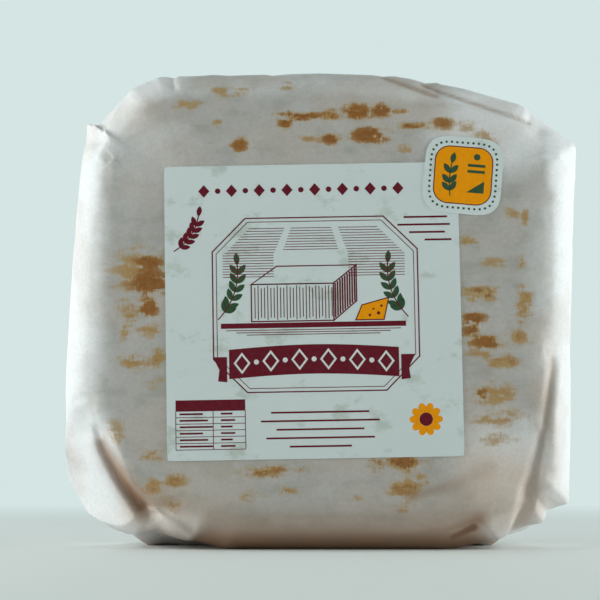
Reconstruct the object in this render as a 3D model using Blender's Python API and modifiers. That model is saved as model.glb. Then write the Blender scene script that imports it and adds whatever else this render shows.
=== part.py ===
"""A whole Mahon cheese in its greaseproof paper, standing upright on one of its narrow sides.

The pack is one closed solid, because it is shut. A square paper label lies on its front
face, and a small round-cornered seal overlaps the label's upper right corner.
Metres, +Z up, the labelled face towards -Y, the origin under the middle of the pack.
"""

import math

import bmesh
import bpy
import numpy as np
from mathutils import Matrix, Vector

MM = 0.001

# The pack
PACK_DEPTH = 80 * MM
EDGE_DEPTH = 20 * MM  # how far back the rounding of the front edge reaches
EDGE_RUN = 17 * MM  # how far in from the outline that rounding reaches
FRONT_CROWN = 1.2 * MM
BACK_CROWN = 0.8 * MM
CROWN_RADIUS = 110 * MM
SIDE_BULGE = 0.3 * MM
FLOOR_PRESS = 1.0 * MM  # the paper underneath is pressed flat by this much
PACK_MIDDLE = (0.0, 96.0)  # millimetres: the point the outline is measured around
CORNER_STEPS = 6

# The outline of the paper seen from the front, counter-clockwise: x, z, corner radius in
# millimetres. Each side starts at the corner where two sides of the pack meet.
FRONT_RIGHT = ((86.6, 10.8, 3), (87.8, 15.6, 2), (96.9, 18.0, 2), (97.8, 40, 25), (98.7, 91, 60),
               (100.7, 140, 40), (101.9, 161.0, 4))
FRONT_TOP = ((89.4, 170.2, 12), (79.2, 177.0, 8), (56.2, 183.4, 20), (24.8, 189.6, 20),
             (-1.2, 190.4, 60), (-56.0, 189.3, 8), (-62.0, 189.8, 3), (-71.5, 186.8, 6))
FRONT_LEFT = ((-77.5, 184.0, 6), (-89.9, 168.3, 2), (-95.2, 170.4, 1), (-97.7, 150, 40),
              (-100.1, 118, 60), (-102.5, 70, 60), (-102.8, 38, 12), (-101.8, 26.6, 4))
FRONT_BOTTOM = ((-93.3, 13.5, 2), (-75.2, 5.1, 1.5), (-66.0, 6.0, 5), (-51.4, 3.2, 3),
                (-38.0, -0.1, 8), (47.8, -0.6, 20), (68.4, 4.0, 3), (77.4, 7.4, 2))
BACK_OUTLINE = (((97.5, 0.0, 46),), ((98.5, 187.5, 52),), ((-98.0, 189.5, 50),), ((-100.5, 0.0, 46),))
OUTLINE_CHANGE = (-11 * MM, 8 * MM)  # over these depths the front outline turns into the back one

# Folds of the paper near the corners: the line in x and z, then width and depth at its two ends
# A negative depth is a ridge. All in millimetres.
FOLDS = {
    "upper right pleat": (((41, 183.4), (55, 177.3), (74, 170.5), (81, 168.3)), (3.2, 2.6), (2.2, 1.6)),
    "upper right tuck": (((25, 187.2), (36, 181.8), (44, 178.8)), (3, 2), (1.6, 1.0)),
    "lower left pleat": (((-89, 46), (-82.5, 31), (-75, 20), (-68, 10)), (3, 6.4), (1.8, 3.8)),
    "lower left rim": (((-88.3, 54), (-86, 46), (-83, 38)), (3, 2.4), (-1.0, -0.3)),
    "lower right pleat": (((89.9, 73.5), (85.5, 49.1), (82.2, 34.2), (77.0, 7.7)), (2.2, 4.4), (1.4, 3.4)),
    "lower right inner ridge": (((85.9, 74.4), (84, 49), (74.5, 23), (71, 9)), (4, 5.5), (-1.0, -1.6)),
    "lower right outer ridge": (((92, 71.5), (89.6, 53.8), (88.2, 34)), (2.6, 3.4), (-0.9, -1.2)),
    "upper left notch": (((-61.2, 191), (-60.4, 186), (-59.2, 182)), (2.2, 2), (1.8, 0.8)),
}
FOLD_FADE = (-13 * MM, -22 * MM)  # the folds above die out between these depths

# Hollows pinched into the edge: x, z, radius, depth in millimetres
DIMPLES = ((-94, 52, 6.5, 2.2), (90.4, 78, 5.5, 1.8), (85.5, 165.6, 4, 1.4), (-91, 163, 4.5, 2.6))

# The flat triangle of taut paper at the lower left: three of its points, in millimetres
FACET_POINTS = ((-91.0, -32, 48.4), (-93.0, -17, 13.7), (-74.2, -33, 5.5))
FACET_TOP = (60 * MM, 42 * MM)  # it starts between these heights

# The gathered paper round the sides: pleats at each corner, running from the front to the back
PLEAT_SPACING = 19 * MM
PLEAT_REACH = 30 * MM  # to each side of the corner
PLEAT_HEIGHT = 2.4 * MM
PLEAT_SLANT = 0.22
PLEAT_START = (-10 * MM, 6 * MM)
PLEAT_END = (62 * MM, 92 * MM)  # on the back they die out towards the middle

# The paper's four flaps, folded over one another on the back: the outline in x and z, then
# how far it stands up, in millimetres
FLAPS = (
    (((-110, 18), (6, 92), (6, 104), (-110, 176)), 0.9),
    (((110, 18), (110, 176), (-14, 106), (-14, 90)), 1.0),
    (((-88, 200), (-6, 78), (10, 78), (88, 200)), 1.1),
    (((-86, -6), (86, -6), (9, 120), (-9, 120)), 1.2),
)
FLAP_RAMP = 8 * MM

# The label and the seal
LABEL_SIZE = 115 * MM
LABEL_MIDDLE = (-4.2 * MM, 93.0 * MM)
LABEL_TURN = 1.0  # degrees, counter-clockwise from the front
LABEL_CORNER = 1.0
SEAL_SIZE = 30.5 * MM
SEAL_MIDDLE = (54.6 * MM, 146.1 * MM)
SEAL_TURN = -4.5
SEAL_CORNER = 9.0
SHEET_THICKNESS = 0.3 * MM
GAP = 0.3 * MM
STEP_RAMP = (0.8 * MM, 4.5 * MM)  # the seal comes down from the label over these distances

# How finely the pack is cut: cells along half a side, and from front to back
INNER_CELLS = 6
OUTER_CELLS = 12
OUTER_STARTS = 0.5
SIDE_CELLS = 14
LABEL_CELLS = 12
SEAL_CELLS = 14


def smooth_step(value, low, high):
    """0 below low, 1 above high, and smooth between; low may be the larger one."""
    share = np.clip((value - low) / (high - low), 0, 1)
    return share * share * (3 - 2 * share)


def corner_points(before, corner, after):
    """A rounded corner as a short curve between its two tangent points."""
    here = np.array(corner[:2], float)
    ends = [np.array(other[:2], float) - here for other in (before, after)]
    spans = [np.linalg.norm(end) for end in ends]
    cosine = np.clip(ends[0] @ ends[1] / (spans[0] * spans[1]), -1, 1)
    half_angle = math.acos(cosine) / 2
    reach = min(corner[2] / math.tan(half_angle), 0.48 * min(spans))
    start, end = (here + side / span * reach for side, span in zip(ends, spans))
    t = np.linspace(0, 1, CORNER_STEPS + 1)[:, None]
    return (1 - t) ** 2 * start + 2 * t * (1 - t) * here + t ** 2 * end


def outline_curve(sides):
    """The closed outline as points, their distance along it, and where each side starts."""
    corners = [corner for side in sides for corner in side]
    side_starts = np.cumsum([0] + [len(side) for side in sides[:-1]])
    points, middles = [], []
    for index, corner in enumerate(corners):
        arc = corner_points(corners[index - 1], corner, corners[(index + 1) % len(corners)])
        if index in side_starts:
            middles.append(len(points) + CORNER_STEPS // 2)
        points.extend(arc)
    points = np.array(points + points[:1]) * MM
    along = np.concatenate([[0], np.cumsum(np.linalg.norm(np.diff(points, axis=0), axis=1))])
    return points, along, along[middles]


def outline_at(curve, turn):
    """Points of an outline at turn, which runs from 0 to 4, one for each side."""
    points, along, starts = curve
    stops = np.append(starts, starts[0] + along[-1])
    place = np.interp(turn % 4, np.arange(5), stops) % along[-1]
    return np.stack([np.interp(place, along, points[:, axis]) for axis in (0, 1)], axis=-1)


def distance_to_line(points, line):
    """Distance of each point to a polyline, and how far along it the nearest place is, 0 to 1."""
    line = np.array(line, float) * MM
    lengths = np.linalg.norm(np.diff(line, axis=0), axis=1)
    passed = np.concatenate([[0], np.cumsum(lengths)])
    best = np.full(len(points), np.inf)
    share = np.zeros(len(points))
    for index, length in enumerate(lengths):
        step = (line[index + 1] - line[index]) / length
        run = np.clip((points - line[index]) @ step, 0, length)
        apart = np.linalg.norm(points - line[index] - run[:, None] * step, axis=1)
        nearer = apart < best
        best = np.where(nearer, apart, best)
        share = np.where(nearer, (passed[index] + run) / passed[-1], share)
    return best, share


def inside_distance(points, polygon):
    """Distance of each point inwards from the nearest edge of a convex polygon."""
    polygon = np.array(polygon, float) * MM
    middle = polygon.mean(axis=0)
    result = np.full(len(points), np.inf)
    for start, end in zip(polygon, np.roll(polygon, -1, axis=0)):
        normal = np.array([end[1] - start[1], start[0] - end[0]])
        normal /= np.linalg.norm(normal)
        normal *= np.sign((middle - start) @ normal)
        result = np.minimum(result, (points - start) @ normal)
    return result


def crown_share(seen):
    """The gentle dome of the two flat faces: 1 at their middle, 0 near the outline."""
    apart = np.linalg.norm(seen - np.array(PACK_MIDDLE) * MM, axis=1)
    return np.clip(1 - (apart / CROWN_RADIUS) ** 2, 0, 1)


def cube_to_pack(cube):
    """The pack's plain form: place, outward normal and turn of each point of a cube from -1 to 1."""
    across, back, up = cube.T
    reach = np.maximum(np.abs(across), np.abs(up))
    safe = np.where(reach > 0, reach, 1)
    a, c = across / safe, up / safe
    turn = np.select(
        [a >= 1, c >= 1, a <= -1, c <= -1],
        [(c + 1) / 2, 1 + (1 - a) / 2, 2 + (1 - c) / 2, 3 + (a + 1) / 2],
        0.0,
    )
    on_side = reach >= 1
    front = back < 0

    # The angle round the rounded edge: 0 on the flat face, a quarter turn on the side
    size = 100 * MM
    flat_share = (size - EDGE_RUN) / (size - EDGE_RUN + EDGE_RUN * math.pi / 4)
    face_angle = np.clip((reach - flat_share) / (1 - flat_share), 0, 1) * math.pi / 4
    side_share = 1 - EDGE_DEPTH * math.pi / 4 / (PACK_DEPTH / 2)
    side_angle = math.pi / 4 * (1 + np.clip((1 - np.abs(back)) / (1 - side_share), 0, 1))
    angle = np.where(on_side, side_angle, face_angle)
    inset = EDGE_RUN / size * (1 - np.sin(angle))
    scale = np.where(face_angle > 0, 1 - inset, (1 - EDGE_RUN / size) * reach / flat_share)
    scale = np.where(on_side, 1 - inset, scale)
    depth = PACK_DEPTH / 2 - EDGE_DEPTH * (1 - np.cos(angle))
    straight = np.abs(back) / side_share * (PACK_DEPTH / 2 - EDGE_DEPTH)
    depth = np.where(on_side & (np.abs(back) < side_share), straight, depth)
    side = np.where(front, -1, 1)
    share = smooth_step(side * depth, *OUTLINE_CHANGE)[:, None]
    ring = (1 - share) * outline_at(FRONT, turn) + share * outline_at(BACK, turn)
    middle = np.array(PACK_MIDDLE) * MM
    outward = ring - middle
    outward_unit = outward / np.linalg.norm(outward, axis=1)[:, None]
    bulge = SIDE_BULGE * np.clip(1 - (depth / (PACK_DEPTH / 2)) ** 2, 0, 1) * np.sin(angle)
    seen = middle + outward * scale[:, None] + outward_unit * bulge[:, None]
    y = side * (depth + np.where(front, FRONT_CROWN, BACK_CROWN) * crown_share(seen))
    place = np.stack([seen[:, 0], y, seen[:, 1]], axis=1)
    normal = np.stack([outward_unit[:, 0] * np.sin(angle), side * np.cos(angle),
                       outward_unit[:, 1] * np.sin(angle)], axis=1)
    return place, normal, turn


def fold_relief(place):
    """How far the named folds and hollows move the front half of the paper outwards."""
    seen = place[:, [0, 2]]
    relief = np.zeros(len(place))
    for line, widths, depths in FOLDS.values():
        apart, share = distance_to_line(seen, line)
        width = (widths[0] + (widths[1] - widths[0]) * share) * MM
        depth = (depths[0] + (depths[1] - depths[0]) * share) * MM
        relief -= depth * np.exp(-((apart / width) ** 2))
    for x, z, radius, depth in DIMPLES:
        apart = np.linalg.norm(seen - np.array([x, z]) * MM, axis=1)
        relief -= depth * MM * np.exp(-((apart / (radius * MM)) ** 2))
    return relief * smooth_step(place[:, 1], *FOLD_FADE)


def pleat_relief(place, turn):
    """The soft folds of the gathered paper: waves along the sides, strongest at the corners."""
    seen = place[:, [0, 2]] - np.array(PACK_MIDDLE) * MM
    from_middle = np.linalg.norm(seen, axis=1)
    side_length = FRONT[1][-1] / 4
    relief = np.zeros(len(place))
    for corner in range(4):
        lean = PLEAT_SLANT if corner % 2 else -PLEAT_SLANT
        along = ((turn - corner + 2) % 4 - 2) * side_length - lean * (place[:, 1] - PLEAT_START[0])
        wave = np.cos(math.pi * along / PLEAT_SPACING) ** 2
        relief += PLEAT_HEIGHT * wave * smooth_step(np.abs(along), PLEAT_REACH, PLEAT_REACH / 2)
    fade = smooth_step(place[:, 1], *PLEAT_START) * smooth_step(from_middle, *PLEAT_END)
    return relief * fade


def flap_relief(place):
    """The folded flaps on the back, each one raised above those under it."""
    relief = np.zeros(len(place))
    for polygon, height in FLAPS:
        inside = inside_distance(place[:, [0, 2]], polygon)
        relief += height * MM * smooth_step(inside, 0, FLAP_RAMP)
    return relief * smooth_step(place[:, 1], PACK_DEPTH / 2 - 6 * MM, PACK_DEPTH / 2)


def press_facet(place):
    """Draws the paper beyond the taut lower left triangle in onto its plane."""
    first, second, third = (np.array(point, float) * MM for point in FACET_POINTS)
    normal = np.cross(second - first, third - first)
    normal /= np.linalg.norm(normal)
    over = np.clip((place - first) @ normal, 0, None)
    over *= smooth_step(place[:, 2], *FACET_TOP) * smooth_step(place[:, 1], 8 * MM, -4 * MM)
    return place - over[:, None] * normal


def pack_places(cube):
    """The paper's true form, with its folds, before it is set on the ground."""
    place, normal, turn = cube_to_pack(cube)
    place = press_facet(place)
    relief = fold_relief(place) + pleat_relief(place, turn) + flap_relief(place)
    return place + normal * relief[:, None]


def press_underside(place):
    """Flattens the paper underneath, where the pack stands."""
    pressed = place.copy()
    pressed[:, 2] = np.maximum(place[:, 2], place[:, 2].min() + FLOOR_PRESS)
    return pressed


def stand_on_origin(objects):
    """Moves the pieces together, so that the whole stands with its middle over the origin."""
    graph = bpy.context.evaluated_depsgraph_get()
    points = np.array([vert.co[:] for obj in objects for vert in obj.evaluated_get(graph).data.vertices])
    low, high = points.min(axis=0), points.max(axis=0)
    origin = Vector(((low[0] + high[0]) / 2, (low[1] + high[1]) / 2, low[2]))
    for obj in objects:
        obj.data.transform(Matrix.Translation(-origin))


def cell_edges():
    """Where the cube is cut along a side: coarse in the middle, finer where the folds are."""
    inner = np.linspace(0, OUTER_STARTS, INNER_CELLS + 1)[1:]
    outer = np.linspace(OUTER_STARTS, 1, OUTER_CELLS + 1)[1:-1]
    half = np.concatenate([inner, outer])
    return np.concatenate([-half[::-1], [0], half])


def cut_cube():
    """A cube from -1 to 1, cut into cells by planes across its three axes."""
    mesh = bmesh.new()
    bmesh.ops.create_cube(mesh, size=2)
    along_depth = np.linspace(-1, 1, SIDE_CELLS + 1)[1:-1]
    for axis, cuts in enumerate((cell_edges(), along_depth, cell_edges())):
        direction = [float(other == axis) for other in range(3)]
        for cut in cuts:
            bmesh.ops.bisect_plane(
                mesh,
                geom=mesh.verts[:] + mesh.edges[:] + mesh.faces[:],
                dist=1e-6,
                plane_co=[float(cut) * share for share in direction],
                plane_no=direction,
            )
    return mesh


def finish_mesh(mesh, name, material, collection):
    """Turns a bmesh into a smooth-shaded object of the collection, its cells split the short way."""
    bmesh.ops.recalc_face_normals(mesh, faces=mesh.faces)
    bmesh.ops.triangulate(mesh, faces=mesh.faces, quad_method="SHORT_EDGE")
    data = bpy.data.meshes.new(name)
    mesh.to_mesh(data)
    mesh.free()
    data.shade_smooth()
    data.set_sharp_from_angle(angle=math.radians(35))
    data.materials.append(material)
    obj = bpy.data.objects.new(name, data)
    collection.objects.link(obj)
    return obj


def make_pack(collection, material):
    """The shut pack, out to its paper."""
    mesh = cut_cube()
    cube = np.array([vert.co[:] for vert in mesh.verts])
    for vert, place in zip(mesh.verts, press_underside(pack_places(cube))):
        vert.co = place
    return finish_mesh(mesh, "wrapped_cheese", material, collection)


def turned(points, degrees):
    """Points in the plane of the face, turned about the origin."""
    angle = math.radians(degrees)
    turn = np.array([[math.cos(angle), math.sin(angle)], [-math.sin(angle), math.cos(angle)]])
    return points @ turn


def front_surface(seen):
    """How far forward the front face lies at each place."""
    return -(PACK_DEPTH / 2 + FRONT_CROWN * crown_share(seen))


def make_sheet(name, size, middle, turn, corner, lift, cells, material, collection):
    """A thin sheet over the front face: lift says how far its back stands off the paper."""
    half = size / 2 / MM
    corners = ((half, -half), (half, half), (-half, half), (-half, -half))
    square = tuple(((x, z, corner),) for x, z in corners)
    curve = outline_curve(square)
    mesh = bmesh.new()
    bmesh.ops.create_grid(mesh, x_segments=cells, y_segments=cells, size=1)
    grid = np.array([vert.co[:2] for vert in mesh.verts])
    reach = np.abs(grid).max(axis=1)
    a, c = (grid / np.where(reach > 1e-6, reach, 1)[:, None]).T
    round_it = np.select(
        [a > 1 - 1e-5, c > 1 - 1e-5, a < -1 + 1e-5, c < -1 + 1e-5],
        [(c + 1) / 2, 1 + (1 - a) / 2, 2 + (1 - c) / 2, 3 + (a + 1) / 2],
        0.0,
    )
    seen = turned(outline_at(curve, round_it) * reach[:, None], turn) + np.array(middle)
    forward = front_surface(seen) - lift(seen)
    for vert, (x, z), y in zip(mesh.verts, seen, forward):
        vert.co = (x, y, z)
    obj = finish_mesh(mesh, name, material, collection)
    if obj.data.polygons[0].normal.y > 0:
        obj.data.flip_normals()
    solid = obj.modifiers.new("Thickness", "SOLIDIFY")
    solid.thickness = SHEET_THICKNESS
    solid.offset = 1
    return obj


def label_edge_distance(seen):
    """Distance outwards from the label's nearest edge, negative on the label."""
    local = turned(seen - np.array(LABEL_MIDDLE), -LABEL_TURN)
    return np.abs(local).max(axis=1) - LABEL_SIZE / 2


def on_paper(seen):
    return np.full(len(seen), GAP)


def over_label(seen):
    step = SHEET_THICKNESS + GAP
    return GAP + step * smooth_step(label_edge_distance(seen), STEP_RAMP[1], STEP_RAMP[0])


def matte_material(name, colour, roughness):
    material = bpy.data.materials.new(name)
    material.use_nodes = True
    shader = material.node_tree.nodes["Principled BSDF"]
    shader.inputs["Base Color"].default_value = (*colour, 1)
    shader.inputs["Roughness"].default_value = roughness
    shader.inputs["Metallic"].default_value = 0
    material.diffuse_color = (*colour, 1)
    return material


def main():
    for obj in list(bpy.data.objects):
        bpy.data.objects.remove(obj, do_unlink=True)
    collection = bpy.data.collections.new("wrapped_mahon_cheese")
    bpy.context.scene.collection.children.link(collection)
    pack = make_pack(collection, matte_material("greaseproof_paper", (0.62, 0.60, 0.55), 0.55))
    label = make_sheet("label", LABEL_SIZE, LABEL_MIDDLE, LABEL_TURN, LABEL_CORNER, on_paper,
                       LABEL_CELLS, matte_material("label_paper", (0.80, 0.82, 0.80), 0.5), collection)
    seal = make_sheet("seal_sticker", SEAL_SIZE, SEAL_MIDDLE, SEAL_TURN, SEAL_CORNER, over_label,
                      SEAL_CELLS, matte_material("seal_paper", (0.85, 0.35, 0.03), 0.35), collection)
    stand_on_origin((pack, label, seal))


FRONT = outline_curve((FRONT_RIGHT, FRONT_TOP, FRONT_LEFT, FRONT_BOTTOM))
BACK = outline_curve(BACK_OUTLINE)
main()
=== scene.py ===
"""Looks for the wrapped Mahon cheese: stained greaseproof paper, the folded back, the label and the seal.

The shape functions work in millimetres, in the frame of the part's source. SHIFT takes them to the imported
frame.
"""

import math

import bmesh
import bpy
import numpy as np
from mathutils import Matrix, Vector
from mathutils.bvhtree import BVHTree
from numpy.linalg import norm


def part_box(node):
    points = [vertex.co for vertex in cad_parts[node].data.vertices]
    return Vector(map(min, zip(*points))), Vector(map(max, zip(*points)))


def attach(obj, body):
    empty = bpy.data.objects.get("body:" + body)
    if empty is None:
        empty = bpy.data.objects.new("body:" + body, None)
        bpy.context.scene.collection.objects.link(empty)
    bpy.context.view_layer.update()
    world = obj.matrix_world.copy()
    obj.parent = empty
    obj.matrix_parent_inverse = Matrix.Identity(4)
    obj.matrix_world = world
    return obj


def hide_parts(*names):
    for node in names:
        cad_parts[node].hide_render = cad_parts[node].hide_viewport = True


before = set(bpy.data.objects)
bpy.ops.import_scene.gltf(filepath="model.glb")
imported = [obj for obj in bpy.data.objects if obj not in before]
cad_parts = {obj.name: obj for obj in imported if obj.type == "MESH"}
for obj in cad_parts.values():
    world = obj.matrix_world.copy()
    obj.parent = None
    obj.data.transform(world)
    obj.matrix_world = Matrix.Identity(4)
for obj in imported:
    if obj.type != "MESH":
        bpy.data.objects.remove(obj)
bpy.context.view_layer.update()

MM = 0.001
SEED = 41
CREASES = 150
CREASED_ACROSS = (66, 84)
CREASED_UPWARDS = (76, 92)

# The pack, with the same numbers as its solid
PACK_DEPTH = 80
EDGE_DEPTH = 20
EDGE_RUN = 17
FRONT_CROWN = 1.2
BACK_CROWN = 0.8
CROWN_RADIUS = 110
SIDE_BULGE = 0.3
PACK_MIDDLE = (0.0, 96.0)
CORNER_STEPS = 6
FRONT_RIGHT = ((86.6, 10.8, 3), (87.8, 15.6, 2), (96.9, 18.0, 2), (97.8, 40, 25), (98.7, 91, 60),
               (100.7, 140, 40), (101.9, 161.0, 4))
FRONT_TOP = ((89.4, 170.2, 12), (79.2, 177.0, 8), (56.2, 183.4, 20), (24.8, 189.6, 20),
             (-1.2, 190.4, 60), (-56.0, 189.3, 8), (-62.0, 189.8, 3), (-71.5, 186.8, 6))
FRONT_LEFT = ((-77.5, 184.0, 6), (-89.9, 168.3, 2), (-95.2, 170.4, 1), (-97.7, 150, 40),
              (-100.1, 118, 60), (-102.5, 70, 60), (-102.8, 38, 12), (-101.8, 26.6, 4))
FRONT_BOTTOM = ((-93.3, 13.5, 2), (-75.2, 5.1, 1.5), (-66.0, 6.0, 5), (-51.4, 3.2, 3),
                (-38.0, -0.1, 8), (47.8, -0.6, 20), (68.4, 4.0, 3), (77.4, 7.4, 2))
BACK_OUTLINE = (((97.5, 0.0, 46),), ((98.5, 187.5, 52),), ((-98.0, 189.5, 50),), ((-100.5, 0.0, 46),))
OUTLINE_CHANGE = (-11, 8)
FOLD_FADE = (-13, -22)
DIMPLES = ((-94, 52, 6.5, 2.2), (90.4, 78, 5.5, 1.8), (85.5, 165.6, 4, 1.4), (-91, 163, 4.5, 2.6))
FACET_POINTS = ((-91.0, -32, 48.4), (-93.0, -17, 13.7), (-74.2, -33, 5.5))
FACET_TOP = (60, 42)
PLEAT_SPACING = 19
PLEAT_REACH = 30
PLEAT_HEIGHT = 2.4
PLEAT_SLANT = 0.22
PLEAT_START = (-10, 6)
PLEAT_END = (62, 92)

# Valleys and ridges near the corners: the line in x and z, widths and depths; a ridge's depth is negative
FOLDS = (
    (((41, 183.4), (55, 177.3), (74, 170.5), (81, 168.3)), (3.2, 2.6), (1.4, 1.0)),
    (((25, 187.2), (36, 181.8), (44, 178.8)), (3, 2), (1.2, 0.8)),
    (((-89, 46), (-82.5, 31), (-75, 20), (-68, 10)), (3, 6.4), (1.8, 3.8)),
    (((-88.3, 54), (-86, 46), (-83, 38)), (3, 2.4), (-1.0, -0.3)),
    (((89.9, 73.5), (85.5, 49.1), (82.2, 34.2), (77.0, 7.7)), (2.2, 4.4), (1.4, 3.4)),
    (((85.9, 74.4), (84, 49), (74.5, 23), (71, 9)), (4, 5.5), (-1.0, -1.6)),
    (((92, 71.5), (89.6, 53.8), (88.2, 34)), (2.6, 3.4), (-0.9, -1.2)),
    (((-61.2, 191), (-60.4, 186), (-59.2, 182)), (2.2, 2), (1.8, 0.8)),
    (((27, 6.8), (35, 7.3), (41, 8.8), (47.5, 10.6)), (2.2, 1.8), (-0.8, -0.6)),
    (((32, 20.2), (50, 25), (66, 33)), (2.0, 4.5), (0.9, 0.5)),
    (((-51, 5), (-47, 11), (-42, 17)), (1.6, 3), (-0.9, -0.3)),
    (((-50, 4), (-44, 6.5), (-36, 9)), (1.6, 3), (0.9, 0.2)),
    (((-38, 2.5), (-35.5, 5), (-34, 8)), (1.8, 1.6), (-0.9, -0.3)),
    (((-21, 190), (-14, 187.5), (-7, 186)), (1.6, 1.4), (0.6, 0.2)),
    (((85.5, 79.3), (80.3, 69.2), (75.6, 66.8)), (2.4, 2), (-0.8, -0.3)),
    (((-98, 58), (-92, 60), (-86, 63)), (2.2, 2), (0.8, 0.2)),
    (((-66, 187), (-63.5, 182), (-64, 176)), (2.4, 4), (-0.7, -0.2)),
)

# Places where one layer of paper stands over the next: the line, the step's height and its reach at both
# ends. The paper on the line's left stands up, or falls away where the height is negative.
LAPS = (
    (((40, 183.9), (55, 177.8), (74, 171.0), (82, 168.3)), (1.5, 1.3), (14, 12)),
    (((24, 188.0), (36, 182.4), (44.5, 179.0)), (1.0, 1.2), (9, 9)),
    (((-92.4, 50), (-88.8, 37.6), (-83.4, 27), (-77.2, 17.6), (-70.6, 6.5)), (-1.2, -5.0), (3, 10)),
    (((89.9, 75), (87.2, 50), (84.4, 34.2), (79.0, 7.7)), (0.6, 2.4), (4, 6)),
    (((-49, 5.4), (-57.4, 12), (-65.2, 15.5), (-71.5, 15.5)), (1.6, 2.0), (4, 6)),
    (((58.8, 13.5), (63.6, 8.5), (67.5, 4)), (1.2, 2.0), (6, 6)),
    (((-93.0, 167.6), (-87.5, 165.4), (-85.1, 160.4), (-91, 153.6)), (1.9, 1.0), (9, 5)),
)

# Places on the front where the paper is loose and white: x, z, half width, half height, amount
LOOSE_SPOTS = ((-74, 158, 26, 26, 0.5), (67, 162, 34, 22, 1.0), (86, 105, 12, 60, 0.45),
               (94, 150, 10, 18, 1.0), (74, 32, 26, 26, 0.9), (-88, 40, 12, 30, 0.6),
               (-60, 11, 15, 8, 0.95), (-92, 100, 10, 70, 0.6), (69, 10, 10, 7, 0.95))

# Places where the paper takes a warm tone, partly from the oil and partly as painted warm reflection,
# written in the same way
WARM_OIL_AND_REFLECTION_SPOTS = ((68, 24, 24, 20, 0.9), (-62, 14, 22, 11, 0.7), (-72, 170, 18, 11, 0.4),
              (86, 60, 9, 26, 0.4))

# Brown and dark lines in the folds: the line, its width and its strength at both ends
# The lines are partly oil-soaked paper that shows the rind, and partly painted shade and painted warm
# reflection
SOAK_AND_SHADE_LINES = (
    (((-87.5, 43), (-83.5, 33), (-77, 22), (-71, 15)), (1.6, 4), (0.3, 0.8)),
    (((-87.6, 41.4), (-82.2, 32.2), (-77, 25.4), (-71.4, 17.6)), (2.8, 5.2), (0.8, 1.1)),
    (((-72, 21), (-65, 18.5), (-57, 17)), (4, 4), (0.55, 0.4)),
    # Painted shade and painted warm reflection under the lower left arch
    (((-56, 8), (-44, 3)), (5, 4), (0.4, 0.6)),
    (((-70, 5), (-58, 4.5), (-46, 2.5)), (3.4, 4), (0.4, 0.7)),
    # A painted warm reflection low on the right
    (((84, 60), (78, 36), (66, 16)), (6, 13), (0.08, 0.16)),
    (((89.4, 74), (86.0, 50), (81.9, 34.2), (76.5, 8)), (1.6, 5.0), (0.4, 0.4)),
    # Painted shadow lines under the lapped paper at the top right
    (((40, 183.6), (55, 177.4), (74, 170.6), (82, 168)), (0.8, 0.7), (0.75, 0.5)),
    (((24, 187.6), (36, 182.0), (44.5, 178.6)), (0.8, 1.2), (0.6, 0.7)),
    # A painted shade line along the soft crease low on the right
    (((33, 20.6), (50, 25), (64, 32)), (1.4, 4.0), (0.6, 0.25)),
    (((32, 4), (46, 7.5), (60, 12)), (3.4, 4.2), (0.8, 0.9)),
    (((50, 5), (58, 9)), (3.0, 3.4), (1.1, 1.15)),
)

# The label and the seal
LABEL_SIZE = 115
LABEL_MIDDLE = (-4.2, 93.0)
LABEL_TURN = 1.0
LABEL_CORNER = 1.0
LABEL_BACK = 0.15
SEAL_SIZE = 30.5
SEAL_MIDDLE = (54.6, 146.1)
SEAL_TURN = -4.5
SEAL_CORNER = 9.0
SHEET_THICKNESS = 0.3
INK_THICKNESS = 0.04
PAPER_THICKNESS = 0.14
STEP_RAMP = (0.8, 4.5)
RIM_ANGLE = 35

# The paper's four ends on the back: name, corners in x and z from the fold to the tip and back, and how
# far the free edges curl up, in millimetres
BACK_FLAPS = (
    ("back_flap_left", ((-88, 30), (4, 90), (2, 104), (-88, 164)), 0.6),
    ("back_flap_right", ((88, 164), (-12, 107), (-10, 88), (88, 30)), 0.7),
    ("back_flap_top", ((-72, 180), (-8, 80), (12, 77), (74, 180)), 0.8),
    ("back_flap_bottom", ((72, 9), (10, 118), (-10, 121), (-72, 9)), 1.0),
)
FLAP_CELLS = (60, 46)
FLAP_CREASES = 16
FLAP_LENGTH = 60
FLAP_HALF_WIDTH = 40
FLAP_GAP = 0.22
FLAP_ROUNDS = 30
FLAP_SUNK = 0.5

# Stains behind this depth are drawn from a seed
HIDDEN_STAINS = 46
HIDDEN_FROM = -14
STAIN_RIM = 0.6

# The camera in millimetres and degrees, and the studio in metres and watts
CAMERA_PLACE = (-9.34, -740, 35.95)
CAMERA_TILT = 95
CAMERA_LENS = 108.06
BACKDROP = (0.665, 0.783, 0.776)
DIM = (0.27, 0.315, 0.30)
LIGHTS = (("left_box", (-0.93, -0.14, 0.32), 6.8), ("right_box", (0.95, -0.10, 0.26), 7.0))
LIGHT_SIZE = (0.6, 0.7)
LIGHT_COLOUR = (0.95, 1.0, 0.99)
LIGHT_TARGET = (0, 0, 0.09)
FLOOR_COLOUR = (0.82, 0.84, 0.83)
FLOOR_RADIUS = 4.0
FLOOR_MIDDLE = -0.4
FLOOR_FADE = (0.55, 1.1)

# How finely the paper is cut
INNER_CELLS = 20
OUTER_CELLS = 60
OUTER_STARTS = 0.5
DEPTH_CELLS = 76

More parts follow.
